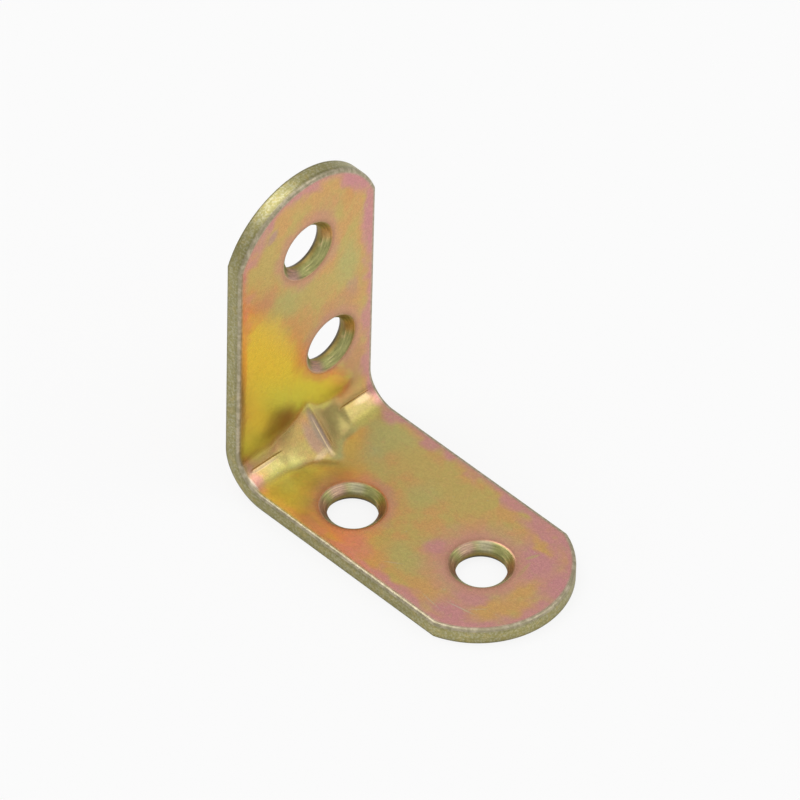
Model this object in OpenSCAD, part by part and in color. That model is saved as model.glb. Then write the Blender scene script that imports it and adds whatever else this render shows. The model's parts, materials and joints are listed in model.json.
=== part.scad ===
// Angle bracket: one strip of steel sheet, punched, countersunk and folded once at a right angle.
// The outer faces lie on the planes X = 0 and Z = 0, which meet at the heel.
// The base runs along +X, the upright along +Z, and the strip's width is centred on Y.
// A gusset is pressed into the fold from outside, so it stands up inside and leaves a dent at the heel.

/* [Sheet] */
// Thickness of the sheet
thickness = 1.5; // [1:0.1:2.5]
// Width of the strip
width = 15.5; // [13:0.5:24]
// Drawn-in edge that the punch leaves round the inner face
edge_roll = 0.3; // [0.1:0.05:0.5]

/* [Legs] */
// Length of the upright, from the heel to its tip
upright_length = 30; // [26:0.5:60]
// Length of the base, from the heel to its tip
base_length = 30; // [26:0.5:60]
// How far each rounded end stands past its two corners
end_rise = 5.4; // [2:0.1:6.4]

/* [Fold] */
// Inside radius of the fold
fold_radius = 2.75; // [1.5:0.25:3.75]
// Depth of the crease that the tool's nose leaves along the fold
crease_depth = 0.12; // [0.05:0.01:0.25]
// Distance from the strip's edge at which the crease stops
crease_margin = 0.75; // [0.5:0.05:1.5]
// Turn from the upright to the crease on the -Y side of the gusset, of the fold's 90 degrees
near_crease_turn = 42; // [30:1:60]
// The same turn on the +Y side
far_crease_turn = 36; // [30:1:60]

/* [Gusset] */
// Distance from one leg's inner face to where the crest meets the other leg
gusset_reach = 3.5; // [2.8:0.1:5]
// Width of the gusset at its foot, in the middle of the fold
gusset_width = 6.4; // [4.5:0.1:8]
// Width of the flat crest
crest_width = 0.6; // [0.3:0.05:1.2]
// Radius of the hollow flanks
flank_radius = 6.5; // [4.5:0.25:12]

/* [Screw holes] */
// Diameter of the bores
bore_diameter = 4.3; // [3.5:0.1:5]
// Diameter of the countersinks at their mouths
countersink_diameter = 5.5; // [5.2:0.1:7]
// Full angle of the countersinks
countersink_angle = 90; // [75:5:110]
// Width of the soft rim round each countersink's mouth
rim_roll = 0.2; // [0.1:0.02:0.3]
// Widening of the bores at their outer ends, where the sheet breaks away from the punch
break_taper = 0.2; // [0.05:0.01:0.25]
// Length of that taper along the bore
break_length = 0.4; // [0.2:0.05:0.6]
// Distance from the heel to the inner holes
inner_hole_at = 10.2; // [9.5:0.1:12]
// Distance from each leg's tip to its end hole
end_hole_margin = 7.6; // [6:0.1:9]
// Distance of the inner holes from the strip's centre line, to opposite sides on the two legs
hole_stagger = 2.9; // [0:0.1:3]

/* [Hidden] */
$fn = 96;
// Colour of yellow zinc plating
zinc_gold = [0.76, 0.64, 0.36];
// Extra length with which a cutter runs out of the metal
overrun = 1;
half_width = width / 2;
// The fold's centre lies this far from both outer faces
fold_centre = thickness + fold_radius;
end_radius = (half_width * half_width + end_rise * end_rise) / (2 * end_rise);
upright_end_hole_at = upright_length - end_hole_margin;
base_end_hole_at = base_length - end_hole_margin;

// Distances from the heel along the diagonal that halves the fold
fold_inside = fold_centre * sqrt(2) - fold_radius;
fold_outside = fold_centre * sqrt(2) - fold_radius - thickness;
crest_height = (2 * thickness + gusset_reach) / sqrt(2) - fold_inside;

// The flank's arc runs from the crest's edge down to the gusset's foot, in the crest's cross-section
flank_run = (gusset_width - crest_width) / 2;
flank_chord = sqrt(flank_run * flank_run + crest_height * crest_height);
flank_offset = sqrt(flank_radius * flank_radius - flank_chord * flank_chord / 4);
flank_centre = [
    (gusset_width + crest_width) / 4 + flank_offset * crest_height / flank_chord,
    crest_height / 2 + flank_offset * flank_run / flank_chord
];
// The flank runs on under the fold's surface by this much, so that the two surfaces cross
flank_overlap = 0.3;
// The drawn-in edge's arc is blunter than a quarter round, and meets the cut side at an angle
roll_radius = 1.2 * edge_roll;
roll_centre = (edge_roll + sqrt(2 * roll_radius * roll_radius - edge_roll * edge_roll)) / 2;

// Room past the tip of the longer leg, for the cutters that run along the legs
leg_room = max(upright_length, base_length) + overrun;

// What the punch draws in along one straight or round edge: the corner at the origin, the metal in -X and -Y
module roll_corner() {
    difference() {
        translate([-edge_roll, -edge_roll])
            square(edge_roll + overrun);
        translate([-roll_centre, -roll_centre])
            circle(r = roll_radius);
    }
}

// The strip's cross-section: X across the width, Y from the outer face up to the inner one
module strip_section() {
    difference() {
        translate([-half_width, 0])
            square([width, thickness]);
        for (side = [0, 1])
            mirror([side, 0])
                translate([half_width, thickness])
                    roll_corner();
    }
}

// Outline of one leg's flat part, from the fold at X = 0 to the tip of its rounded end
module leg_outline(flat_length) {
    intersection() {
        translate([-overrun, -half_width])
            square([flat_length + overrun, width]);
        union() {
            translate([-overrun, -half_width])
                square([flat_length - end_rise + overrun, width]);
            translate([flat_length - end_radius, 0])
                circle(r = end_radius);
        }
    }
}

// Cutter for the drawn-in edge round a leg's end, about the end's own centre
module end_roll() {
    rotate_extrude()
        translate([end_radius, thickness])
            roll_corner();
}

// One leg lying flat, outer face down, from the fold at X = 0
module flat_leg(flat_length) {
    difference() {
        intersection() {
            rotate([90, 0, 90])
                linear_extrude(height = flat_length)
                    strip_section();
            linear_extrude(height = 3 * thickness, center = true)
                leg_outline(flat_length);
        }
        translate([flat_length - end_radius, 0, 0])
            intersection() {
                end_roll();
                translate([end_radius - end_rise - edge_roll, -width, 0])
                    cube([end_rise + edge_roll + overrun, 2 * width, 2 * thickness]);
            }
    }
}

// The quarter turn that joins the legs, about an axis along Y
module fold() {
    translate([fold_centre, 0, fold_centre])
        rotate([90, 0, 0])
            rotate([0, 0, 180])
                rotate_extrude(angle = 90)
                    translate([fold_centre, 0])
                        rotate([0, 0, 90])
                            strip_section();
}

// Stands a profile on the fold's diagonal: profile X across the strip, profile Y out from the heel
module along_crest(distance) {
    rotate([0, 45, 0])
        translate([0, 0, distance])
            rotate([0, 90, 0])
                rotate([0, 0, 90])
                    linear_extrude(height = 2 * leg_room, center = true)
                        children();
}

// The gusset's cross-section, from the crest's flat down the two hollow flanks
module gusset_section() {
    difference() {
        translate([-gusset_width / 2 - flank_overlap, -thickness / 2])
            square([gusset_width + 2 * flank_overlap, thickness / 2 + crest_height]);
        for (side = [0, 1])
            mirror([side, 0])
                translate(flank_centre)
                    circle(r = flank_radius);
    }
}

// The metal that the press pushes in, between the two legs' mid-planes
module gusset() {
    intersection() {
        along_crest(fold_inside)
            gusset_section();
        translate([thickness / 2, -width, thickness / 2])
            cube([leg_room, 2 * width, leg_room]);
    }
}

// One part of the crease, a right-angled groove along the fold, centred on Y
module crease(turn) {
    crease_length = half_width - crease_margin - gusset_width / 2;
    translate([fold_centre, 0, fold_centre])
        rotate([0, -turn, 0])
            translate([-fold_radius - crease_depth, -crease_length / 2, 0])
                rotate([0, 45, 0])
                    cube([fold_radius, crease_length, fold_radius]);
}

// The crease on both sides of the gusset
module creases() {
    crease_middle = (half_width - crease_margin + gusset_width / 2) / 2;
    translate([0, -crease_middle, 0])
        crease(near_crease_turn);
    translate([0, crease_middle, 0])
        crease(far_crease_turn);
}

// Cutter for one screw hole, along +Z from the outer face at Z = 0
module screw_hole() {
    bore_r = bore_diameter / 2;
    mouth_r = countersink_diameter / 2;
    sink_slope = tan(countersink_angle / 2);
    sink_start = thickness - (mouth_r - bore_r) / sink_slope;
    rim_depth = rim_roll / 2;
    rotate_extrude()
        polygon([
            [0, -overrun],
            [bore_r + break_taper, -overrun],
            [bore_r + break_taper, 0],
            [bore_r, break_length],
            [bore_r, sink_start],
            [mouth_r - rim_depth * sink_slope, thickness - rim_depth],
            [mouth_r + rim_roll, thickness],
            [mouth_r + rim_roll, thickness + overrun],
            [0, thickness + overrun]
        ]);
}

module base_holes() {
    translate([inner_hole_at, -hole_stagger, 0])
        screw_hole();
    translate([base_end_hole_at, 0, 0])
        screw_hole();
}

module upright_holes() {
    for (place = [[inner_hole_at, hole_stagger], [upright_end_hole_at, 0]])
        translate([0, place[1], place[0]])
            rotate([0, 90, 0])
                screw_hole();
}

module angle_bracket() {
    color(zinc_gold)
        difference() {
            union() {
                translate([fold_centre, 0, 0])
                    flat_leg(base_length - fold_centre);
                mirror([1, 0, -1])
                    translate([fold_centre, 0, 0])
                        flat_leg(upright_length - fold_centre);
                fold();
                gusset();
            }
            along_crest(fold_outside)
                gusset_section();
            creases();
            base_holes();
            upright_holes();
        }
}

angle_bracket();
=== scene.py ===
"""Looks of a folded sheet-steel angle bracket with a yellow zinc finish, on a pale floor.

The bracket is drawn as a flat strip first: a point has a place along the strip, across it and up through
the sheet. The strip is then folded, and the gusset is pressed into the fold. Sizes are in millimetres
until the mesh is made.
"""

import json
import math

import bpy
import numpy as np
from mathutils import Matrix, Vector
from mathutils.geometry import delaunay_2d_cdt


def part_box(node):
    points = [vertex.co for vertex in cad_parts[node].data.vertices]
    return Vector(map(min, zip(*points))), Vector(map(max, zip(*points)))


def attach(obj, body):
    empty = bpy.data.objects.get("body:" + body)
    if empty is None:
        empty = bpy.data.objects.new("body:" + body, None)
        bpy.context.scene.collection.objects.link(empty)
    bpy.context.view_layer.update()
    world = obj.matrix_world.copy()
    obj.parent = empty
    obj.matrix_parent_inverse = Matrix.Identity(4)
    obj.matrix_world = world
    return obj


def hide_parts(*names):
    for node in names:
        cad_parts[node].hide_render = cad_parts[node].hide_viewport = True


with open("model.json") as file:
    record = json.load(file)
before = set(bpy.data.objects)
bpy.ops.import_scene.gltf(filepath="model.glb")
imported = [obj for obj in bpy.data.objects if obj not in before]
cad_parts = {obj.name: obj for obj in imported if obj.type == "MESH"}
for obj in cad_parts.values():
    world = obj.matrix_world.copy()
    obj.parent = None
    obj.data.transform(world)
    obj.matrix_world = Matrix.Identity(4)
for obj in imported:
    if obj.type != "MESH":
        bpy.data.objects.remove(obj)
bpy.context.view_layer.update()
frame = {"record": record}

MM = 0.001

# Sizes that the frame gives
lowest, highest = (np.array(corner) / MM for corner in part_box("angle_bracket"))
mounts = {mount["name"]: mount for mount in frame["record"]["mounts"]}
BASE_LENGTH = float(highest[0])
UPRIGHT_LENGTH = float(highest[2])
WIDTH = float(highest[1] - lowest[1])
BORE_RADIUS = mounts["base_end_hole"]["dims"]["r_mm"]

# Sizes of the sheet, the fold and the gusset
THICKNESS = 1.5
EDGE_ROLL = 0.3
END_RISE = 5.4
FOLD_RADIUS = 2.75
GUSSET_REACH = 3.5
GUSSET_WIDTH = 6.4
CREST_WIDTH = 0.6
FLANK_RADIUS = 6.5
MOUTH_RADIUS = 2.75
RIM_ROLL = 0.2
BREAK_TAPER = 0.2
BREAK_LENGTH = 0.4

# The crease along the fold: its turn from the upright and its open side's width, per side of the gusset
CREASE_DEPTH = 0.12
CREASE_START = 3.2
CREASE_STOP = 7.0
# Its ends fade in over this stretch past the start, and out over this length before the stop
CREASE_FADE_IN = (-0.1, 0.5)
CREASE_FADE_OUT = 0.4
NEAR_CREASE_TURN = 42
FAR_CREASE_TURN = 36
NEAR_CREASE_WIDTH = 0.3
FAR_CREASE_WIDTH = 0.6
CREASE_STEEP_SIDE = 0.09
# Only points this near to the inner face are moved by the crease
CREASE_SKIN = 0.05

# Softness of edges that the press and the plating leave
OUTER_EDGE = 0.05
CREST_SOFTNESS = 0.24
# The crest's section is the mean of copies moved sideways by these parts of its softness
CREST_SHIFTS = (-1, -0.5, 0, 0.5, 1)
FOOT_SOFTNESS = 1.3
FOOT_SLOPE = 0.19

HALF_WIDTH = WIDTH / 2
FOLD_CENTRE = THICKNESS + FOLD_RADIUS
END_RADIUS = (HALF_WIDTH ** 2 + END_RISE ** 2) / (2 * END_RISE)
# Half the fold's length along its inner face; the strip's middle is its zero
FOLD_HALF = FOLD_RADIUS * math.pi / 4
BASE_TIP = FOLD_HALF + BASE_LENGTH - FOLD_CENTRE
UPRIGHT_TIP = -(FOLD_HALF + UPRIGHT_LENGTH - FOLD_CENTRE)
FOLD_INSIDE = FOLD_CENTRE * math.sqrt(2) - FOLD_RADIUS
CREST_HEIGHT = (2 * THICKNESS + GUSSET_REACH) / math.sqrt(2) - FOLD_INSIDE

# Spacing of the mesh's points
LEG_STEP = 0.5
GUSSET_STEP = 0.1
CREASE_STEP = 0.12
EDGE_STEP = 0.2
HOLE_POINTS = 120
# Each second row of a grid is moved this part of a step one way, and the others the other way
ROW_SHIFT = 0.25
# The close grid runs on past the fold and past the gusset's foot by this much
PAST_FOLD = 1.6
PAST_FOOT = 0.9
# The grid's points stay this far from a face's outer loop and from a hole's loop
LOOP_ROOM = 0.115
HOLE_ROOM = 0.12
# Rows of points along the crease lie at these parts of its shallow side's width
CREASE_SHARES = (0.15, 0.33, 0.55, 0.77, 1, 1.25)
# They run on past the crease's start and past its stop by this much
PAST_CREASE = (0.4, 0.3)
# The grid leaves them this much room along the strip and across it
CREASE_ROOM = (0.25, 0.1)
# Rows up the cut edge's wall and roll, and up a hole's broken end, bore, cone and rim
WALL_ROWS = 8
ROLL_ROWS = 5
BREAK_ROWS = 3
BORE_ROWS = 3
CONE_ROWS = 6
RIM_ROWS = 4


def along_base(from_heel):
    """Place along the strip of something on the base."""
    return FOLD_HALF + from_heel - FOLD_CENTRE


def hole_places():
    """Each hole's centre on the flat strip, from the record's mounts."""
    places = {}
    for name, mount in mounts.items():
        if mount["kind"] != "bore":
            continue
        x, y, z = (value / MM for value in mount["pos_m"])
        on_base = abs(mount["axis"][2]) > 0.5
        places[name] = (along_base(x), y) if on_base else (-along_base(z), y)
    return places


HOLES = hole_places()


def gusset_section(across):
    """Height of the gusset above the bottom of the fold, across the strip."""
    run = (GUSSET_WIDTH - CREST_WIDTH) / 2
    chord = math.hypot(run, CREST_HEIGHT)
    offset = math.sqrt(FLANK_RADIUS ** 2 - chord ** 2 / 4)
    centre_y = (GUSSET_WIDTH + CREST_WIDTH) / 4 + offset * CREST_HEIGHT / chord
    centre_h = CREST_HEIGHT / 2 + offset * run / chord
    total = 0
    for shift in CREST_SHIFTS:
        y = np.abs(across + shift * CREST_SOFTNESS)
        inside = np.clip(y, CREST_WIDTH / 2, GUSSET_WIDTH / 2)
        flank = centre_h - np.sqrt(FLANK_RADIUS ** 2 - (inside - centre_y) ** 2)
        past_foot = np.maximum(y - GUSSET_WIDTH / 2, 0)
        total = total + flank - FOOT_SLOPE * past_foot - past_foot ** 2
    return total / len(CREST_SHIFTS)


def crease_place(side):
    """Place along the strip of the crease's steep side; side is -1 for near and 1 for far."""
    turn = NEAR_CREASE_TURN if side < 0 else FAR_CREASE_TURN
    return (turn - 45) / 45 * FOLD_HALF


def crease_width(side):
    return NEAR_CREASE_WIDTH if side < 0 else FAR_CREASE_WIDTH


def ramp(value, start, end):
    """0 before start, 1 after end, and soft between."""
    share = np.clip((value - start) / (end - start), 0, 1)
    return share * share * (3 - 2 * share)


def crease_depth(along, across):
    """Depth of the crease: a steep side towards the upright and a shallow one towards the base."""
    depth = 0
    for side in (-1, 1):
        past = along - crease_place(side)
        steep = ramp(past, -CREASE_STEEP_SIDE, 0)
        shallow = 1 - np.clip(past / crease_width(side), 0, 1)
        reach = across * side
        ends = ramp(reach, CREASE_START + CREASE_FADE_IN[0], CREASE_START + CREASE_FADE_IN[1])
        ends = ends * ramp(reach, CREASE_STOP, CREASE_STOP - CREASE_FADE_OUT)
        depth = depth + CREASE_DEPTH * steep * shallow * ends
    return depth


def smooth_max(a, b, softness):
    """The larger of two values, with a soft change from one to the other."""
    blend = np.maximum(softness - np.abs(a - b), 0) / softness
    return np.maximum(a, b) + blend ** 3 * softness / 6


def fold_strip(points):
    """Folds an array of (along, across, up) points, and presses the gusset into the fold."""
    along, across, up = points.T
    turn = np.radians(225 + 45 * np.clip(along / FOLD_HALF, -1, 1))
    radius = FOLD_CENTRE - up + crease_depth(along, across) * ramp(up, THICKNESS - CREASE_SKIN, THICKNESS)
    x = FOLD_CENTRE + radius * np.cos(turn) + np.maximum(along - FOLD_HALF, 0)
    z = FOLD_CENTRE + radius * np.sin(turn) + np.maximum(-along - FOLD_HALF, 0)
    out = (x + z) / math.sqrt(2)
    pressed = FOLD_INSIDE - (THICKNESS - up) + gusset_section(across)
    push = (smooth_max(out, pressed, FOOT_SOFTNESS) - out) / math.sqrt(2)
    return np.column_stack([x + push, across, z + push])


def outline():
    """The blank's outline, anticlockwise, as points and inward directions."""
    turn = math.asin(HALF_WIDTH / END_RADIUS)
    arc = END_RADIUS * turn
    arc_steps = round(2 * arc / EDGE_STEP)
    angles = np.linspace(-turn, turn, arc_steps + 1)
    base_centre = BASE_TIP - END_RADIUS
    upright_centre = UPRIGHT_TIP + END_RADIUS
    base_end = np.column_stack([base_centre + END_RADIUS * np.cos(angles), END_RADIUS * np.sin(angles)])
    upright_end = np.column_stack([
        upright_centre - END_RADIUS * np.cos(angles), -END_RADIUS * np.sin(angles)])
    side_steps = round((BASE_TIP - UPRIGHT_TIP - 2 * END_RISE) / EDGE_STEP)
    sides = np.linspace(0, 1, side_steps + 1)[1:-1, None]
    far_side = base_end[-1] + sides * (upright_end[0] - base_end[-1])
    near_side = upright_end[-1] + sides * (base_end[0] - upright_end[-1])
    loop = np.concatenate([base_end, far_side, upright_end, near_side])
    ahead = np.roll(loop, -1, 0) - loop
    ahead /= np.linalg.norm(ahead, axis=1)[:, None]
    behind = np.roll(ahead, 1, 0)
    mitre = ahead + behind
    inward = np.column_stack([-mitre[:, 1], mitre[:, 0]])
    inward /= (1 + (ahead * behind).sum(1))[:, None]
    return loop, inward


def side_profile():
    """(distance in from the outline, height) up the cut edge, from the outer face to the inner one."""
    rows = [(OUTER_EDGE * 1.6, 0), (OUTER_EDGE * 0.5, OUTER_EDGE * 0.2), (0, OUTER_EDGE)]
    wall_top = THICKNESS - EDGE_ROLL
    for step in range(1, WALL_ROWS + 1):
        rows.append((0, OUTER_EDGE + (wall_top - OUTER_EDGE) * step / WALL_ROWS))
    for step in range(1, ROLL_ROWS + 1):
        turn = math.pi / 2 * step / ROLL_ROWS
        rows.append((EDGE_ROLL * (1 - math.cos(turn)), wall_top + EDGE_ROLL * math.sin(turn)))
    return rows


def hole_profile():
    """(radius, height) up a hole's wall, from the outer face to the rim on the inner one."""
    # The countersink's walls rise as much as they widen
    mouth_slope = 1.0
    sink_start = THICKNESS - (MOUTH_RADIUS - BORE_RADIUS) / mouth_slope
    rim_depth = RIM_ROLL / 2
    sink_end = (MOUTH_RADIUS - rim_depth * mouth_slope, THICKNESS - rim_depth)
    break_radius = BORE_RADIUS + BREAK_TAPER
    rows = [(break_radius + OUTER_EDGE, 0), (break_radius, OUTER_EDGE * 0.6)]
    for step in range(1, BREAK_ROWS + 1):
        rows.append((break_radius - BREAK_TAPER * step / BREAK_ROWS, BREAK_LENGTH * step / BREAK_ROWS))
    for step in range(1, BORE_ROWS + 1):
        rows.append((BORE_RADIUS, BREAK_LENGTH + (sink_start - BREAK_LENGTH) * step / BORE_ROWS))
    for step in range(1, CONE_ROWS + 1):
        share = step / CONE_ROWS
        rows.append((
            BORE_RADIUS + (sink_end[0] - BORE_RADIUS) * share,
            sink_start + (sink_end[1] - sink_start) * share))
    for step in range(1, RIM_ROWS + 1):
        turn = math.pi / 4 * (1 - step / RIM_ROWS)
        reach = MOUTH_RADIUS + RIM_ROLL - sink_end[0]
        rows.append((
            MOUTH_RADIUS + RIM_ROLL - reach * math.sin(turn) / math.sin(math.pi / 4),
            THICKNESS - rim_depth * (1 - math.cos(turn)) / (1 - math.cos(math.pi / 4))))
    return rows


def inner_points():
    """Grid points for a face: wide apart on the legs, close together at the gusset."""
    points = []
    rows = int((BASE_TIP - UPRIGHT_TIP) / LEG_STEP)
    columns = int(WIDTH / LEG_STEP)
    for row in range(rows + 1):
        for column in range(columns + 1):
            shift = ROW_SHIFT if row % 2 else -ROW_SHIFT
            points.append((UPRIGHT_TIP + row * LEG_STEP, -HALF_WIDTH + (column + shift) * LEG_STEP))
    points = np.array(points)
    reach = FOLD_HALF + PAST_FOLD
    half = GUSSET_WIDTH / 2 + PAST_FOOT
    coarse = points[(np.abs(points[:, 0]) > reach) | (np.abs(points[:, 1]) > half)]
    count_along = round(2 * reach / GUSSET_STEP)
    count_across = round(2 * half / GUSSET_STEP)
    fine = []
    for row in range(count_along + 1):
        for column in range(count_across + 1):
            shift = ROW_SHIFT if row % 2 else -ROW_SHIFT
            fine.append((
                -reach + 2 * reach * row / count_along,
                -half + 2 * half * (column + shift) / count_across))
    return np.concatenate([coarse, np.array(fine)])


def crease_points(grid):
    """The grid with rows of points along the crease in place of its own ones there."""
    across = np.arange(CREASE_START - PAST_CREASE[0], CREASE_STOP + PAST_CREASE[1], CREASE_STEP)
    rows = []
    for side in (-1, 1):
        start = crease_place(side)
        offsets = [-2 * CREASE_STEEP_SIDE, -CREASE_STEEP_SIDE, -CREASE_STEEP_SIDE / 2, 0]
        offsets += [crease_width(side) * share for share in CREASE_SHARES]
        for offset in offsets:
            rows.append(np.column_stack([np.full(len(across), start + offset), across * side]))
        inside = (np.abs(grid[:, 0] - start - offsets[-1] / 2) < offsets[-1] / 2 + CREASE_ROOM[0])
        inside &= (grid[:, 1] * side > across[0] - CREASE_ROOM[1])
        inside &= (grid[:, 1] * side < across[-1] + CREASE_ROOM[1])
        grid = grid[~inside]
    return np.concatenate([grid, *rows])


def inset_distance(points):
    """How far each point lies inside the outline, negative outside."""
    along, across = points.T
    side = HALF_WIDTH - np.abs(across)
    base_end = END_RADIUS - np.hypot(along - (BASE_TIP - END_RADIUS), across)
    upright_end = END_RADIUS - np.hypot(along - (UPRIGHT_TIP + END_RADIUS), across)
    ends = np.where(along > BASE_TIP - END_RADIUS, base_end, side)
    ends = np.where(along < UPRIGHT_TIP + END_RADIUS, np.minimum(ends, upright_end), ends)
    return np.minimum(side, ends)


def from_hole(points):
    """Each point's offset from the nearest hole's centre."""
    offsets = points[:, None] - np.array(list(HOLES.values()))
    nearest = np.argmin(np.linalg.norm(offsets, axis=2), axis=1)
    return offsets[np.arange(len(points)), nearest]


def hole_distance(points):
    """Distance from each point to the nearest hole's centre."""
    return np.linalg.norm(from_hole(points), axis=1)


class Strip:
    """Collects the flat strip's points and faces."""

    def __init__(self):
        self.points = []
        self.faces = []

    def add_points(self, points):
        first = len(self.points)
        self.points.extend(map(tuple, points))
        return np.arange(first, first + len(points))

    def join_loops(self, lower, upper):
        for here in range(len(lower)):
            after = (here + 1) % len(lower)
            self.faces.append((lower[here], lower[after], upper[after], upper[here]))

    def fill(self, loops, height, upward):
        """A flat face between the outline loop, which comes first, and the hole loops."""
        flat = np.array(self.points)
        grid = crease_points(inner_points())
        outer = flat[loops[0]][:, :2]
        margin = HALF_WIDTH - outer[:, 1].max()
        hole_edge = np.hypot(*(flat[loops[1]][0, :2] - np.array(list(HOLES.values())[0])))
        room = inset_distance(grid) - margin
        hole_room = hole_distance(grid) - hole_edge
        grid = grid[(room > LOOP_ROOM) & (hole_room > HOLE_ROOM)]
        numbers = self.add_points([(a, b, height) for a, b in grid])
        every = np.concatenate([*loops, numbers])
        places = [Vector(self.points[n][:2]) for n in every]
        edges = []
        first = 0
        for loop in loops:
            count = len(loop)
            edges.extend((first + i, first + (i + 1) % count) for i in range(count))
            first += count
        out = delaunay_2d_cdt(places, edges, [], 0, 1e-7)
        source = [every[ids[0]] for ids in out[3]]
        flat = np.array(self.points)
        for face in out[2]:
            corners = [source[i] for i in face]
            middle = flat[corners][:, :2].mean(0)[None]
            if inset_distance(middle)[0] < margin - 1e-6:
                continue
            if hole_distance(middle)[0] < hole_edge - 1e-6:
                continue
            self.faces.append(tuple(corners if upward else corners[::-1]))


def make_strip():
    """The whole flat strip: cut edge, holes, inner face and outer face."""
    strip = Strip()
    loop, inward = outline()
    rings = [
        strip.add_points([(*place, up) for place in loop + inset * inward])
        for inset, up in side_profile()]
    for lower, upper in zip(rings, rings[1:]):
        strip.join_loops(lower, upper)
    outer_loops = [rings[0]]
    inner_loops = [rings[-1]]
    turns = np.linspace(0, 2 * math.pi, HOLE_POINTS, endpoint=False)
    circle = np.column_stack([np.cos(turns), -np.sin(turns)])
    for place in HOLES.values():
        rings = [
            strip.add_points([(*spot, up) for spot in np.array(place) + radius * circle])
            for radius, up in hole_profile()]
        for lower, upper in zip(rings, rings[1:]):
            strip.join_loops(lower, upper)
        outer_loops.append(rings[0])
        inner_loops.append(rings[-1])
    strip.fill(inner_loops, THICKNESS, True)
    strip.fill(outer_loops, 0, False)
    return strip


def add_attribute(mesh, name, values):
    attribute = mesh.attributes.new(name, "FLOAT", "POINT")
    attribute.data.foreach_set("value", np.asarray(values, np.float32))


def make_bracket():
    strip = make_strip()
    flat = np.array(strip.points)
    placed = fold_strip(flat)
    low = np.array([0, -HALF_WIDTH, 0])
    high = np.array([BASE_LENGTH, HALF_WIDTH, UPRIGHT_LENGTH])
    placed = np.clip(placed, low, high)
    mesh = bpy.data.meshes.new("bracket_sheet")
    mesh.from_pydata([tuple(point) for point in placed * MM], [], strip.faces)
    mesh.shade_smooth()
    add_attribute(mesh, "along", flat[:, 0])
    add_attribute(mesh, "across", flat[:, 1])
    add_attribute(mesh, "up", flat[:, 2])
    edge_gap = inset_distance(flat[:, :2])
    hole_gap = hole_distance(flat[:, :2]) - MOUTH_RADIUS
    add_attribute(mesh, "edge_gap", edge_gap)
    add_attribute(mesh, "hole_gap", hole_gap)
    around = from_hole(flat[:, :2]) / np.maximum(hole_gap + MOUTH_RADIUS, BORE_RADIUS)[:, None]
    add_attribute(mesh, "around_along", around[:, 0])
    add_attribute(mesh, "around_across", around[:, 1])
    mesh.validate()
    piece = bpy.data.objects.new("bracket_sheet", mesh)
    bpy.context.scene.collection.objects.link(piece)
    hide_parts("angle_bracket")
    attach(piece, "root")
    return piece


bracket = make_bracket()

# Tints of the film; the lemon yellow is used only for painted reflections
SILVER = (0.66, 0.58, 0.42)
GOLD = (0.77, 0.45, 0.165)
KHAKI = (0.68, 0.51, 0.165)
GREEN = (0.60, 0.54, 0.19)
MOSS = (0.50, 0.54, 0.26)
PAINTED_REFLECTION_LEMON = (0.79, 0.71, 0.17)
ORANGE = (0.82, 0.37, 0.14)
SALMON = (0.70, 0.37, 0.19)
PINK = (0.73, 0.33, 0.33)
ROSE = (0.71, 0.35, 0.25)
MAUVE = (0.60, 0.36, 0.29)
OLIVE = (0.50, 0.42, 0.15)
BRONZE = (0.58, 0.45, 0.15)
BROWN = (0.44, 0.33, 0.12)

# Tints of the cut edges, the crest and the holes; cream and pale are also painted highlights on the inner
# face
CREAM = (0.84, 0.64, 0.36)
PAINTED_HIGHLIGHT_PALE = (0.93, 0.80, 0.66)
CREST_GREY = (0.40, 0.31, 0.25)
CUT_OLIVE = (0.39, 0.35, 0.145)
CUT_GREY = (0.47, 0.44, 0.27)
ROLL_GREY = (0.42, 0.37, 0.24)
CONE_GREEN = (0.42, 0.41, 0.16)
BORE_OLIVE = (0.40, 0.30, 0.10)
BREAK_BROWN = (0.14, 0.11, 0.06)
BRICK = (0.46, 0.24, 0.15)

# Clouds in the holes, placed from the hole's centre
BASE_HOLE_CLOUDS = [
    (BRICK, 1.9, 1.3, 1.4, 1.4, 0, 0.9),
    (BRICK, -1.5, -1.9, 1.4, 1.4, 0, 0.9),
    (MAUVE, -2.4, 0.6, 0.9, 1.0, 0, 0.8),
    (SILVER, -1.6, 2.0, 0.9, 0.7, 0, 0.6),
]
UPRIGHT_HOLE_CLOUDS = [
    (BROWN, -1.9, 1.4, 1.3, 1.3, 0, 0.8),
    (MAUVE, 2.1, -1.6, 1.3, 1.1, 0, 0.95),
    (ORANGE, -0.4, 2.5, 1.0, 0.8, 0, 0.5),
]

# Where the film has no pink rim, around the painted reflection on the upright: place along and across, reach
# along and across, tilt, strength
NO_RIM = (-5, -8, 15, 5, 0, 1)
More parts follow.
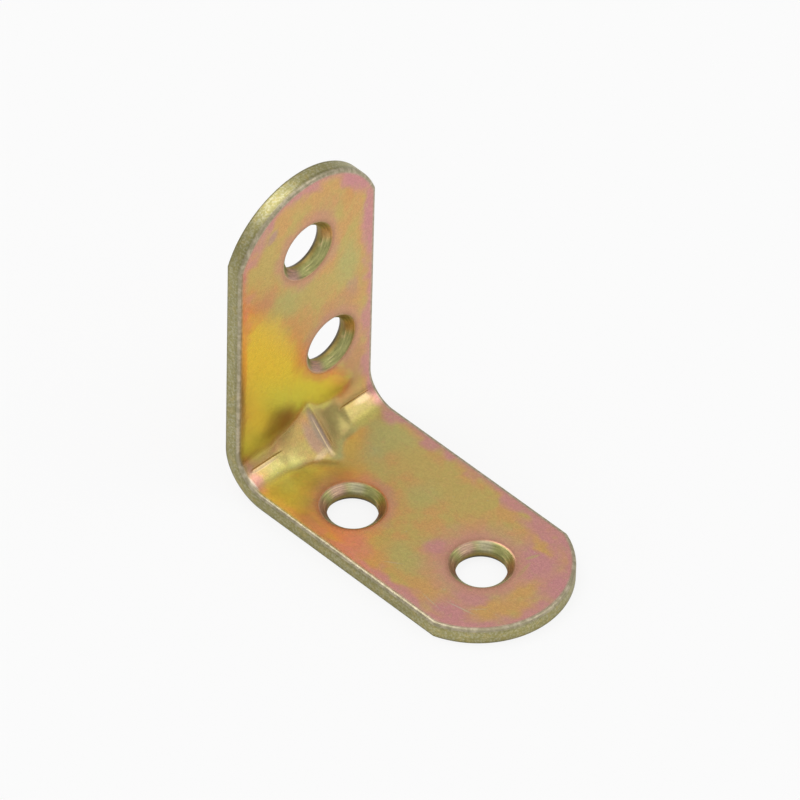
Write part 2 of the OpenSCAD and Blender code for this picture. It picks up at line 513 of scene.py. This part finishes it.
# Clouds: tint, place along and across the strip, reach along and across, tilt, strength. One olive cloud on
# the base beside the gusset is painted shade
CLOUDS_AND_PAINTED_SHADE = [
    # The upright's end
    (SALMON, -23.6, 0.8, 1.6, 3.4, 10, 0.5),
    (ORANGE, -23.5, 4.4, 1.4, 0.9, 0, 0.5),
    (PINK, -24.8, 5.4, 2.8, 1.0, 42, 0.9),
    (KHAKI, -23.0, -4.4, 1.8, 1.4, 0, 0.9),
    (MAUVE, -24.4, -4.1, 0.6, 0.9, 30, 0.9),
    (GOLD, -26.0, -1.0, 1.1, 4.0, 0, 0.7),
    (KHAKI, -20.0, -5.0, 2.6, 1.0, 0, 0.8),
    (PINK, -19.0, 7.0, 3.6, 1.0, 0, 0.8),
    # The greenish band across the upright
    (GREEN, -16.0, 4.6, 2.7, 1.5, 0, 0.95),
    (GREEN, -15.9, -2.2, 1.9, 3.0, -15, 0.95),
    (KHAKI, -15.4, 1.2, 1.5, 3.0, 0, 0.8),
    (SALMON, -17.3, -5.0, 1.7, 1.6, 15, 0.9),
    (ORANGE, -17.4, -6.9, 1.5, 0.9, 0, 0.8),
    (MAUVE, -13.2, 5.2, 1.2, 1.0, 0, 0.5),
    (SALMON, -12.0, 3.6, 1.3, 3.2, 10, 0.6),
    (SALMON, -4.2, 5.6, 2.8, 1.6, 0, 0.7),
    # The fold
    (SALMON, -0.9, -5.4, 0.8, 2.6, 0, 0.9),
    (OLIVE, 0.9, 4.8, 1.8, 3.4, 0, 0.85),
    (OLIVE, 0.0, 2.3, 2.5, 1.7, 0, 0.9),
    (BROWN, -0.2, 1.4, 2.6, 1.2, 0, 0.6),
    (BRONZE, -0.6, -2.4, 1.0, 1.4, 0, 0.7),
    (GREEN, 0.9, -3.9, 1.4, 2.8, 0, 0.85),
    (PINK, 0.9, -7.2, 1.8, 1.0, 0, 0.7),
    # The base next to the fold
    # Painted shade on the base beside the gusset's near foot
    (OLIVE, 3.4, -2.2, 2.0, 3.0, 0, 0.5),
    (OLIVE, 3.6, -5.8, 2.8, 1.8, 0, 0.8),
    (MOSS, 2.4, -4.0, 1.5, 2.3, 0, 0.7),
    (BROWN, 6.4, -6.9, 1.4, 0.7, 0, 0.6),
    (GREEN, 4.8, 1.2, 3.4, 2.3, 0, 0.95),
    (GREEN, 2.8, 3.0, 1.9, 3.0, 0, 0.95),
    (MOSS, 3.8, 3.0, 2.2, 3.4, 0, 0.5),
    (MOSS, 4.0, 1.5, 1.3, 1.8, 0, 0.5),
    (GREEN, 4.9, 5.2, 2.8, 1.9, 0, 0.9),
    (KHAKI, 9.5, 4.6, 4.5, 1.8, 0, 0.9),
    (GREEN, 11.2, 2.2, 1.8, 1.9, 0, 0.7),
    (SALMON, 7.8, 0.5, 2.4, 0.7, 0, 0.4),
    (ORANGE, 10.6, -5.7, 2.6, 1.3, -15, 0.9),
    (PINK, 11.4, -5.9, 2.2, 1.3, -15, 0.6),
    # The base's end
    (KHAKI, 14.4, 4.2, 2.6, 1.8, 0, 0.9),
    (GREEN, 15.4, -4.0, 2.7, 1.7, 0, 0.8),
    (PINK, 16.4, -1.2, 1.2, 1.3, 0, 0.8),
    (PINK, 20.3, -0.2, 5.0, 4.8, 0, 0.85),
    (PINK, 26.4, 2.6, 1.2, 2.6, 0, 0.9),
    (PINK, 21.2, 6.2, 2.8, 0.9, 0, 0.8),
    (PINK, 22.6, -3.4, 1.9, 1.2, 20, 0.8),
    (PINK, 22.8, -5.6, 3.4, 1.5, 15, 0.95),
    (PINK, 23.4, 3.8, 3.6, 2.4, -50, 0.95),
    (GOLD, 18.6, -5.6, 2.6, 1.0, 0, 0.8),
    (GOLD, 22.4, 5.0, 1.6, 0.7, -15, 1.0),
    (GOLD, 24.9, 0.1, 0.9, 2.1, 0, 1.0),
    (GOLD, 24.7, -3.4, 1.2, 2.2, -25, 1.0),
]
# Painted reflection: the upright's yellow part, where it mirrors the base, painted into its colour, with gold
# at its edges. Its borders are sharper than other clouds'
PAINTED_REFLECTION_CLOUDS = [
    (PAINTED_REFLECTION_LEMON, -9.5, -4.6, 6.9, 3.3, 12, 1.0),
    (PAINTED_REFLECTION_LEMON, -5.0, 1.2, 3.1, 3.1, 40, 1.0),
    (PAINTED_REFLECTION_LEMON, -3.4, -5.4, 2.9, 2.3, 0, 0.9),
    (PAINTED_REFLECTION_LEMON, -2.7, 3.4, 1.2, 2.1, 20, 0.9),
    (PAINTED_REFLECTION_LEMON, -14.2, -6.2, 3.0, 1.3, 10, 0.8),
    (GOLD, -16.2, -6.2, 1.0, 1.2, 25, 0.6),
    (GOLD, -4.6, 3.6, 2.2, 0.45, 48, 0.7),
]
# Marks with clear borders: by the crease, along the near edge, on the crest, and scratches on the base. Many
# of them are painted light: painted reflection, painted shade, painted shadow and painted highlights, as
# noted below
MARKS_AND_PAINTED_LIGHT = [
    # Painted reflection: yellow on the base beside the fold, near side, where it mirrors the upright
    (PAINTED_REFLECTION_LEMON, 1.4, -4.6, 0.7, 2.6, 0, 0.5),
    (OLIVE, 0.25, -5.2, 0.4, 1.8, 0, 0.5),
    # Painted shade on the base beside the gusset's near foot
    (BROWN, 3.3, -3.6, 1.7, 1.3, 0, 0.6),
    # Painted reflection: yellow on the base beside the fold, far side, where it mirrors the upright
    (PAINTED_REFLECTION_LEMON, 1.4, 5.2, 0.7, 1.9, 0, 0.45),
    (OLIVE, 0.3, 5.3, 0.45, 1.5, 0, 0.5),
    (BROWN, 1.5, 2.5, 0.8, 1.0, 0, 0.6),
    # Painted shadow of the gusset on the upright
    (BROWN, -2.7, -2.9, 2.1, 2.3, 0, 0.5),
    (ORANGE, -12.0, -7.3, 4.5, 0.6, 0, 0.6),
    (BROWN, -6.5, -7.5, 8.0, 0.65, 0, 0.8),
    (BROWN, 8.5, -7.3, 4.0, 0.35, 0, 0.7),
    (SILVER, 17.0, -7.2, 4.0, 0.3, 0, 0.6),
    (MAUVE, 0.3, -0.75, 2.0, 0.55, 0, 0.75),
    (CREST_GREY, 0.0, -0.05, 3.0, 0.5, 0, 0.85),
    # Painted highlights: along the crest, beside both sides of the crease, at the gusset's near foot, and on
    # the bend's near edge
    (CREAM, 0.4, -0.08, 1.8, 0.06, 0, 0.7),
    (CREAM, -0.1, 6.1, 0.4, 1.2, 0, 0.7),
    (CREAM, 0.03, -5.6, 0.2, 1.7, 0, 0.8),
    (CREAM, 2.0, -0.9, 0.4, 1.0, 25, 0.7),
    (PAINTED_HIGHLIGHT_PALE, 0.9, -7.5, 0.9, 0.3, 0, 0.9),
    (SILVER, 22.8, -4.9, 1.7, 0.07, 12, 0.6),
    (SILVER, 23.9, -3.9, 1.0, 0.06, 48, 0.5),
    (SILVER, 15.2, -5.2, 1.0, 0.06, 35, 0.5),
    (SILVER, 20.6, -6.1, 1.4, 0.06, -6, 0.5),
    (GREEN, 23.2, 1.9, 0.22, 1.2, 12, 0.6),
    (GREEN, 22.6, 3.6, 0.2, 0.8, -20, 0.5),
]


class NodeMaker:
    """Makes and joins a tree's nodes. A value may be a number, a colour or another node's output."""

    def __init__(self, tree):
        self.nodes = tree.nodes
        self.links = tree.links

    def feed(self, socket, value):
        if isinstance(value, bpy.types.NodeSocket):
            self.links.new(value, socket)
        elif isinstance(value, tuple) and len(value) == 3 and len(socket.default_value) == 4:
            socket.default_value = (*value, 1)
        else:
            socket.default_value = value

    def attribute(self, name):
        node = self.nodes.new("ShaderNodeAttribute")
        node.attribute_name = name
        return node.outputs["Fac"]

    def math(self, operation, a, b):
        node = self.nodes.new("ShaderNodeMath")
        node.operation = operation
        self.feed(node.inputs[0], a)
        self.feed(node.inputs[1], b)
        return node.outputs[0]

    def fade(self, value, start, end, low=0.0, high=1.0):
        """low before start, high after end, and soft between; start may be the larger."""
        node = self.nodes.new("ShaderNodeMapRange")
        node.interpolation_type = "SMOOTHSTEP"
        if start > end:
            start, end, low, high = end, start, high, low
        for name, number in (("From Min", start), ("From Max", end), ("To Min", low), ("To Max", high)):
            node.inputs[name].default_value = number
        self.feed(node.inputs["Value"], value)
        return node.outputs[0]

    def vector(self, x, y, z):
        node = self.nodes.new("ShaderNodeCombineXYZ")
        for socket, value in zip(node.inputs, (x, y, z)):
            self.feed(socket, value)
        return node.outputs[0]

    def noise(self, place, scale, detail, output="Fac"):
        """Noise between 0 and 1, of about this many waves to a millimetre."""
        node = self.nodes.new("ShaderNodeTexNoise")
        node.inputs["Scale"].default_value = scale
        node.inputs["Detail"].default_value = detail
        self.feed(node.inputs["Vector"], place)
        return node.outputs[output]

    def shift(self, place, push, reach):
        """Moves a place by a colour's distance from grey, times reach."""
        amount = self.nodes.new("ShaderNodeVectorMath")
        amount.operation = "MULTIPLY_ADD"
        self.feed(amount.inputs[0], push)
        amount.inputs[1].default_value = (reach, reach, 0)
        amount.inputs[2].default_value = (-reach / 2, -reach / 2, 0)
        node = self.nodes.new("ShaderNodeMapping")
        self.feed(node.inputs["Vector"], place)
        self.feed(node.inputs["Location"], amount.outputs[0])
        return node.outputs[0]

    def scale(self, colour, factor):
        node = self.nodes.new("ShaderNodeVectorMath")
        node.operation = "SCALE"
        self.feed(node.inputs[0], colour)
        self.feed(node.inputs["Scale"], factor)
        return node.outputs[0]

    def mix(self, share, a, b):
        """A colour between a and b. The node's sockets 6 and 7 are its two colours, and output 2 the mix."""
        node = self.nodes.new("ShaderNodeMix")
        node.data_type = "RGBA"
        self.feed(node.inputs[0], share)
        self.feed(node.inputs[6], a)
        self.feed(node.inputs[7], b)
        return node.outputs[2]


def new_material(name):
    material = bpy.data.materials.new(name)
    material.use_nodes = True
    return material


# Borders of ovals: none past the first part of their reach, full inside the second
SOFT_CLOUD = (1.25, 0.3)
SHARP_CLOUD = (1.2, 0.75)
MARK = (1.2, 0.4)
# Noise in waves to a millimetre
DRIFT_WAVES = 0.45
PATCH_WAVES = 0.5
RAGGED_WAVES = 0.8
HUE_WAVES = 2.0
SPECK_WAVES = 4.0
MOTTLE_WAVES = 5.0
GRAIN_WAVES = 10
# Streaks round the holes, in waves to a radius, and how much closer they lie across the wall
STREAK_WAVES = 1.8
STREAK_SQUEEZE = 7.0
# How far ragged borders wander, in millimetres
RAGGED_REACH = 1.5
FACE_ROUGHNESS = 0.27
CUT_ROUGHNESS = 0.4
BORE_ROUGHNESS = 0.6
# Heights of the relief, in millimetres
GRAIN_HEIGHT = 0.0005
FACE_MOTTLE_HEIGHT = 0.001
CUT_MOTTLE_HEIGHT = 0.012
STREAK_HEIGHT = 0.03


def oval(look, spot, along, across, reach_along, reach_across, tilt, strength, border, core):
    """An oval's share: its strength inside the core, and none past the border, both as parts of its reach."""
    place = look.nodes.new("ShaderNodeMapping")
    place.vector_type = "TEXTURE"
    place.inputs["Location"].default_value = (along, across, 0)
    place.inputs["Rotation"].default_value = (0, 0, math.radians(tilt))
    place.inputs["Scale"].default_value = (reach_along * border, reach_across * border, 1)
    look.feed(place.inputs["Vector"], spot)
    nearness = look.nodes.new("ShaderNodeTexGradient")
    nearness.gradient_type = "SPHERICAL"
    look.feed(nearness.inputs["Vector"], place.outputs[0])
    return look.fade(nearness.outputs["Fac"], 0, 1 - core / border, 0, strength)


def clouded(look, spot, colour, clouds, border, core):
    for tint, *shape in clouds:
        colour = look.mix(oval(look, spot, *shape, border, core), colour, tint)
    return colour


def film(look, spot, ragged, inside):
    """The film's colour: drifting gold and khaki under clouds, and on the inner face the upright's yellow
    painted reflection of the base, and marks, many of them painted highlights, painted shadow and painted
    shade.
    """
    drift = look.noise(spot, DRIFT_WAVES, 3)
    colour = look.mix(look.fade(drift, 0.4, 0.64), GOLD, KHAKI)
    colour = clouded(look, ragged, colour, CLOUDS_AND_PAINTED_SHADE, *SOFT_CLOUD)
    inner_colour_and_painted_light = clouded(look, ragged, colour, PAINTED_REFLECTION_CLOUDS, *SHARP_CLOUD)
    inner_colour_and_painted_light = clouded(look, spot, inner_colour_and_painted_light, MARKS_AND_PAINTED_LIGHT, *MARK)
    return look.mix(inside, colour, inner_colour_and_painted_light)


def rims(look, spot, ragged, colour, edge_gap, hole_gap):
    """Pink along the face's edges and round the holes, but not beside the upright's yellow painted
    reflection.
    """
    patchy = look.noise(spot, PATCH_WAVES, 1)
    reach = look.fade(patchy, 0.35, 0.7, 0, 1.0)
    rim = look.fade(look.math("SUBTRACT", edge_gap, reach), 1.2, 0.0, 0, 0.85)
    kept_off = oval(look, ragged, *NO_RIM, *SOFT_CLOUD)
    rim = look.math("MULTIPLY", rim, look.math("SUBTRACT", 1.0, kept_off))
    colour = look.mix(rim, colour, PINK)
    reach = look.fade(patchy, 0.7, 0.3, 0, 0.6)
    rim = look.fade(look.math("SUBTRACT", hole_gap, reach), 1.1, 0.0, 0, 0.65)
    colour = look.mix(rim, colour, ROSE)
    return look.mix(look.fade(hole_gap, 0.5, 0.1, 0, 0.5), colour, BRICK)


def holes(look, colour, spot, up, hole_gap, streaks):
    """Green countersinks with brown sides and light streaks, and dark bores."""
    cone_colour = CONE_GREEN
    for along, across in HOLES.values():
        clouds = BASE_HOLE_CLOUDS if along > 0 else UPRIGHT_HOLE_CLOUDS
        placed = [(tint, along + ahead, across + aside, *shape) for tint, ahead, aside, *shape in clouds]
        cone_colour = clouded(look, spot, cone_colour, placed, *SOFT_CLOUD)
    cone_colour = look.mix(look.fade(streaks, 0.58, 0.72, 0, 0.6), cone_colour, CREAM)
    cone_colour = look.scale(cone_colour, look.fade(streaks, 0.3, 0.6, 0.75, 1.1))
    colour = look.mix(look.fade(hole_gap, 0.12, -0.08), colour, cone_colour)
    bored = look.math("MULTIPLY", look.fade(hole_gap, -0.4, -0.6), look.fade(up, 0.9, 0.5))
    colour = look.mix(bored, colour, BORE_OLIVE)
    broken = look.math("MULTIPLY", look.fade(hole_gap, 0.1, -0.1), look.fade(up, 0.5, 0.2))
    return look.mix(broken, colour, BREAK_BROWN)


def cut_edge(look, colour, along, across, up, edge_gap, mottle, hues):
    """The cut edge: grey-olive with lines along it, and above it a grey-green roll with light specks."""
    roll_colour = look.mix(look.fade(hues, 0.4, 0.65, 0, 0.7), ROLL_GREY, SILVER)
    colour = look.mix(look.fade(edge_gap, 0.5, 0.2), colour, roll_colour)
    stretched = look.vector(
        look.math("MULTIPLY", along, 0.3), look.math("MULTIPLY", across, 0.3), look.math("MULTIPLY", up, 4.0))
    lines = look.noise(stretched, 1.0, 2)
    cut_colour = look.mix(look.fade(mottle, 0.4, 0.65), CUT_OLIVE, CUT_GREY)
    cut_colour = look.mix(look.fade(hues, 0.5, 0.7, 0, 0.35), cut_colour, BRONZE)
    shade = look.fade(lines, 0.3, 0.7, 0.92, 1.08)
    shade = look.math("MULTIPLY", shade, look.fade(up, 0.05, 0.25, 0.7, 1))
    shade = look.math("MULTIPLY", shade, look.fade(up, 0.9, 1.2, 1, 0.8))
    shade = look.math("MULTIPLY", shade, look.fade(along, 18.0, 25.0, 1, 1.16))
    cut_colour = look.scale(cut_colour, shade)
    cut = look.math("MULTIPLY", look.fade(up, 1.35, 1.15), look.fade(edge_gap, 0.2, 0.08))
    return look.mix(cut, colour, cut_colour)


def plating():
    """Yellow zinc: a clouded film on the faces, pink along their rims, greyer on the cut edges."""
    material = new_material("yellow_zinc")
    look = NodeMaker(material.node_tree)
    shader = look.nodes["Principled BSDF"]
    along = look.attribute("along")
    across = look.attribute("across")
    up = look.attribute("up")
    edge_gap = look.attribute("edge_gap")
    hole_gap = look.attribute("hole_gap")
    spot = look.vector(along, across, 0.0)
    solid = look.vector(along, across, up)
    # The outer face has the same clouds turned end for end
    inside = look.fade(up, 0.7, 0.8)
    face_spot = look.vector(look.math("MULTIPLY", along, look.fade(inside, 0, 1, -1, 1)), across, 0.0)
    ragged = look.shift(face_spot, look.noise(face_spot, RAGGED_WAVES, 3, "Color"), RAGGED_REACH)
    mottle = look.noise(solid, MOTTLE_WAVES, 3)
    hues = look.noise(solid, HUE_WAVES, 3)
    squeezed = look.math("MULTIPLY", hole_gap, STREAK_SQUEEZE)
    around = look.vector(look.attribute("around_along"), look.attribute("around_across"), squeezed)
    streaks = look.noise(around, STREAK_WAVES, 3)

    colour = film(look, face_spot, ragged, inside)
    colour = rims(look, face_spot, ragged, colour, edge_gap, hole_gap)
    colour = look.mix(look.fade(hues, 0.52, 0.75, 0, 0.22), colour, GREEN)
    colour = look.mix(look.fade(hues, 0.48, 0.25, 0, 0.22), colour, SALMON)
    specks = look.noise(solid, SPECK_WAVES, 1)
    colour = look.mix(look.fade(specks, 0.72, 0.8, 0, 0.5), colour, SILVER)
    colour = cut_edge(look, colour, along, across, up, edge_gap, mottle, hues)
    colour = holes(look, colour, spot, up, hole_gap, streaks)

    grain = look.noise(solid, GRAIN_WAVES, 2)
    colour = look.scale(colour, look.fade(mottle, 0.25, 0.75, 0.93, 1.07))
    colour = look.scale(colour, look.fade(grain, 0.25, 0.75, 0.95, 1.05))
    look.feed(shader.inputs["Base Color"], colour)
    shader.inputs["Metallic"].default_value = 1
    cut = look.fade(edge_gap, 0.4, 0.15)
    cone = look.fade(hole_gap, 0.1, -0.1)
    bore = look.fade(hole_gap, -0.4, -0.6)
    roughness = look.fade(look.math("MAXIMUM", cut, cone), 0, 1, FACE_ROUGHNESS, CUT_ROUGHNESS)
    roughness = look.math("MAXIMUM", roughness, look.math("MULTIPLY", bore, BORE_ROUGHNESS))
    look.feed(shader.inputs["Roughness"], roughness)

    relief = look.math("MULTIPLY", grain, GRAIN_HEIGHT)
    mottle_height = look.fade(cut, 0, 1, FACE_MOTTLE_HEIGHT, CUT_MOTTLE_HEIGHT)
    relief = look.math("ADD", relief, look.math("MULTIPLY", mottle, mottle_height))
    streak_height = look.fade(cone, 0, 1, 0, STREAK_HEIGHT)
    relief = look.math("ADD", relief, look.math("MULTIPLY", streaks, streak_height))
    bump = look.nodes.new("ShaderNodeBump")
    bump.inputs["Distance"].default_value = MM
    look.feed(bump.inputs["Height"], relief)
    look.feed(shader.inputs["Normal"], bump.outputs[0])
    return material


bracket.data.materials.append(plating())


# Camera: where it looks from, in degrees and millimetres, and the point of its view plane that it aims at
CAMERA_AZIMUTH = 44.44
CAMERA_ELEVATION = 43.50
CAMERA_ROLL = 1.594
CAMERA_DISTANCE = 800.0
AIM_RIGHT = 9.0
AIM_UP = 3.32
VIEW_SPAN = 66.8
SENSOR = 36.0


def add_camera():
    azimuth, elevation, roll = (math.radians(v) for v in (CAMERA_AZIMUTH, CAMERA_ELEVATION, CAMERA_ROLL))
    back = Vector((
        math.sin(azimuth) * math.cos(elevation),
        -math.cos(azimuth) * math.cos(elevation),
        math.sin(elevation)))
    level = Vector((math.cos(azimuth), math.sin(azimuth), 0))
    rise = back.cross(level)
    right = math.cos(roll) * level + math.sin(roll) * rise
    up = math.cos(roll) * rise - math.sin(roll) * level
    data = bpy.data.cameras.new("camera")
    data.sensor_width = SENSOR
    data.lens = CAMERA_DISTANCE / VIEW_SPAN * SENSOR
    data.clip_start = 0.05
    data.clip_end = 10
    camera = bpy.data.objects.new("camera", data)
    place = (right * AIM_RIGHT + up * AIM_UP + back * CAMERA_DISTANCE) * MM
    camera.matrix_world = Matrix.Translation(place) @ Matrix((right, up, back)).transposed().to_4x4()
    bpy.context.scene.collection.objects.link(camera)
    bpy.context.scene.camera = camera


# The floor lies this far under the base, in millimetres, so that the two faces don't share a plane
FLOOR_GAP = 0.05
# Half the floor's side, in metres, and its shade of grey
FLOOR_HALF = 1.5
FLOOR_GREY = 0.8
# Share of the floor's own white glow over its lit surface, as the camera sees it and as the metal mirrors it
SEEN_GLOW = 0.85
MIRRORED_GLOW = 0.1


def add_floor():
    height = -FLOOR_GAP * MM
    mesh = bpy.data.meshes.new("floor")
    corners = [(x * FLOOR_HALF, y * FLOOR_HALF, height) for x, y in ((-1, -1), (1, -1), (1, 1), (-1, 1))]
    mesh.from_pydata(corners, [], [(0, 1, 2, 3)])
    floor = bpy.data.objects.new("floor", mesh)
    bpy.context.scene.collection.objects.link(floor)
    material = new_material("white_floor")
    look = NodeMaker(material.node_tree)
    diffuse = look.nodes["Principled BSDF"]
    diffuse.inputs["Base Color"].default_value = (FLOOR_GREY, FLOOR_GREY, FLOOR_GREY, 1)
    diffuse.inputs["Roughness"].default_value = 1
    glow = look.nodes.new("ShaderNodeEmission")
    glow.inputs["Color"].default_value = (1, 1, 1, 1)
    ray = look.nodes.new("ShaderNodeLightPath")
    seen = look.math("MULTIPLY", ray.outputs["Is Camera Ray"], SEEN_GLOW)
    mirrored = look.math("MULTIPLY", ray.outputs["Is Glossy Ray"], MIRRORED_GLOW)
    mix = look.nodes.new("ShaderNodeMixShader")
    look.feed(mix.inputs[0], look.math("ADD", seen, mirrored))
    look.feed(mix.inputs[1], diffuse.outputs[0])
    look.feed(mix.inputs[2], glow.outputs[0])
    look.feed(look.nodes["Material Output"].inputs["Surface"], mix.outputs[0])
    mesh.materials.append(material)


# Soft light from all round: brightness at the horizon and overhead, where a white wall is 1
HORIZON_LIGHT = 0.48
OVERHEAD_LIGHT = 0.64
# The light changes from one to the other between these heights of a direction, where straight up is 1
HORIZON_RISE = -0.1
OVERHEAD_RISE = 0.8
# Wide soft glows: direction, full brightness up to one angle from it, none past another, brightness
GLOWS = [
    ((0.45, 0.51, 0.73), 8, 27, 0.62),
    ((0.51, 0.52, 0.69), 3, 14, 0.35),
    ((-0.50, -0.12, 0.86), 18, 24, 1.9),
    ((0.15, -0.15, 0.98), 5, 24, 0.4),
    ((0.76, -0.30, 0.58), 10, 45, 0.22),
]


def add_world():
    world = bpy.data.worlds.new("studio")
    bpy.context.scene.world = world
    world.use_nodes = True
    look = NodeMaker(world.node_tree)
    direction = look.nodes.new("ShaderNodeTexCoord").outputs["Generated"]

    def toward(axis):
        """How nearly a direction points along the axis: the cosine of the angle between them."""
        node = look.nodes.new("ShaderNodeVectorMath")
        node.operation = "DOT_PRODUCT"
        look.feed(node.inputs[0], direction)
        node.inputs[1].default_value = Vector(axis).normalized()
        return node.outputs["Value"]

    light = look.fade(toward((0, 0, 1)), HORIZON_RISE, OVERHEAD_RISE, HORIZON_LIGHT, OVERHEAD_LIGHT)
    for axis, full, none, brightness in GLOWS:
        border = math.cos(math.radians(none))
        glow = look.fade(toward(axis), border, math.cos(math.radians(full)), 0, brightness)
        light = look.math("ADD", light, glow)
    soft = look.nodes["Background"]
    soft.inputs["Color"].default_value = (1, 1, 1, 1)
    look.feed(soft.inputs["Strength"], light)
    white = look.nodes.new("ShaderNodeBackground")
    white.inputs["Color"].default_value = (1, 1, 1, 1)
    white.inputs["Strength"].default_value = 1
    ray = look.nodes.new("ShaderNodeLightPath")
    mix = look.nodes.new("ShaderNodeMixShader")
    look.feed(mix.inputs[0], ray.outputs["Is Camera Ray"])
    look.feed(mix.inputs[1], soft.outputs[0])
    look.feed(mix.inputs[2], white.outputs[0])
    look.feed(look.nodes["World Output"].inputs["Surface"], mix.outputs[0])


add_camera()
add_floor()
add_world()
bpy.context.scene.view_settings.view_transform = "Standard"
